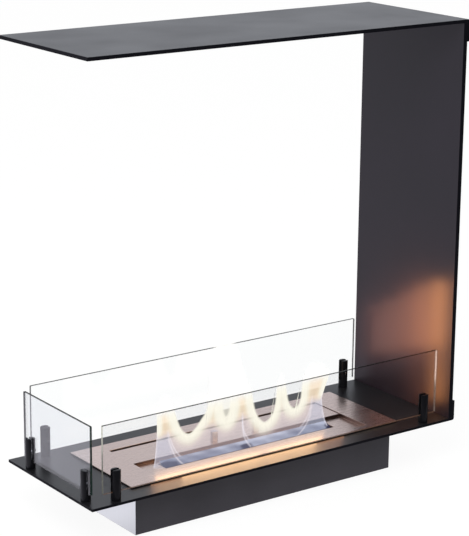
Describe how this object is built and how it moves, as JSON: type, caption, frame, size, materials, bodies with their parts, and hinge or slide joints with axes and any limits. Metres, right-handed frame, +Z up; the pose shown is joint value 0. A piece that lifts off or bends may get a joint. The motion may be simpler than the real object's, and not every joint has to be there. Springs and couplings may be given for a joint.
{
  "type": "bioethanol fireplace",
  "caption": "Built-in bioethanol fireplace open on three sides: base and top plates on one side panel, drop-in burner with sliding damper, and a low glass screen on slotted posts.",
  "frame": {"origin": "middle of the underside of the burner well, on the burner's centre line", "axes": "+Z up, +X towards the side panel, -Y towards the front pane"},
  "size_m": [1.0048, 0.35, 1.052],
  "materials": {
    "black_coat": "satin black powder coat",
    "panel_coat": "satin black powder coat",
    "grey_coat": "matt dark grey powder coat",
    "black_bolt": "blackened steel",
    "black_post": "satin black",
    "screw_steel": "bright zinc",
    "knob_steel": "turned stainless steel",
    "stainless": "satin stainless steel",
    "wool": "matt mineral wool",
    "glass": "clear toughened glass, green edges"
  },
  "bodies": {
    "frame": {"top_plate": "black_coat", "side_panel": "panel_coat", "base_plate": "black_coat", "burner_well": "grey_coat", "flange_bolt_top_front": "black_bolt", "flange_bolt_top_middle": "black_bolt", "flange_bolt_top_back": "black_bolt", "flange_bolt_base_front": "black_bolt", "flange_bolt_base_middle": "black_bolt", "flange_bolt_base_back": "black_bolt", "post_left_front": "black_post", "set_screw_left_front": "screw_steel", "post_screw_left_front": "screw_steel", "post_left_back": "black_post", "set_screw_left_back": "screw_steel", "post_screw_left_back": "screw_steel", "post_front_left": "black_post", "set_screw_front_left": "screw_steel", "post_screw_front_left": "screw_steel", "post_front_right": "black_post", "set_screw_front_right": "screw_steel", "post_screw_front_right": "screw_steel", "post_back_left": "black_post", "set_screw_back_left": "screw_steel", "post_screw_back_left": "screw_steel", "post_back_right": "black_post", "set_screw_back_right": "screw_steel", "post_screw_back_right": "screw_steel"},
    "burner": {"burner_tray": "stainless", "fuel_tank": "stainless", "fuel_wool": "wool"},
    "damper": {"damper_plate": "stainless", "damper_knob_left": "knob_steel", "knob_screw_left": "screw_steel", "damper_knob_right": "knob_steel", "knob_screw_right": "screw_steel"},
    "left_glass": {"pane_left": "glass"},
    "front_glass": {"pane_front": "glass"},
    "back_glass": {"pane_back": "glass"}
  },
  "joints": [
    {"name": "burner_lift", "type": "slide", "parent": "frame", "child": "burner", "axis": [0, 0, 1], "range_m": [0, 0.12]},
    {"name": "damper_slide", "type": "slide", "parent": "burner", "child": "damper", "axis": [0, -1, 0], "range_m": [0, 0.098]},
    {"name": "left_glass_lift", "type": "slide", "parent": "frame", "child": "left_glass", "axis": [0, 0, 1], "range_m": [0, 0.06]},
    {"name": "front_glass_lift", "type": "slide", "parent": "frame", "child": "front_glass", "axis": [0, 0, 1], "range_m": [0, 0.06]},
    {"name": "back_glass_lift", "type": "slide", "parent": "frame", "child": "back_glass", "axis": [0, 0, 1], "range_m": [0, 0.06]}
  ]
}
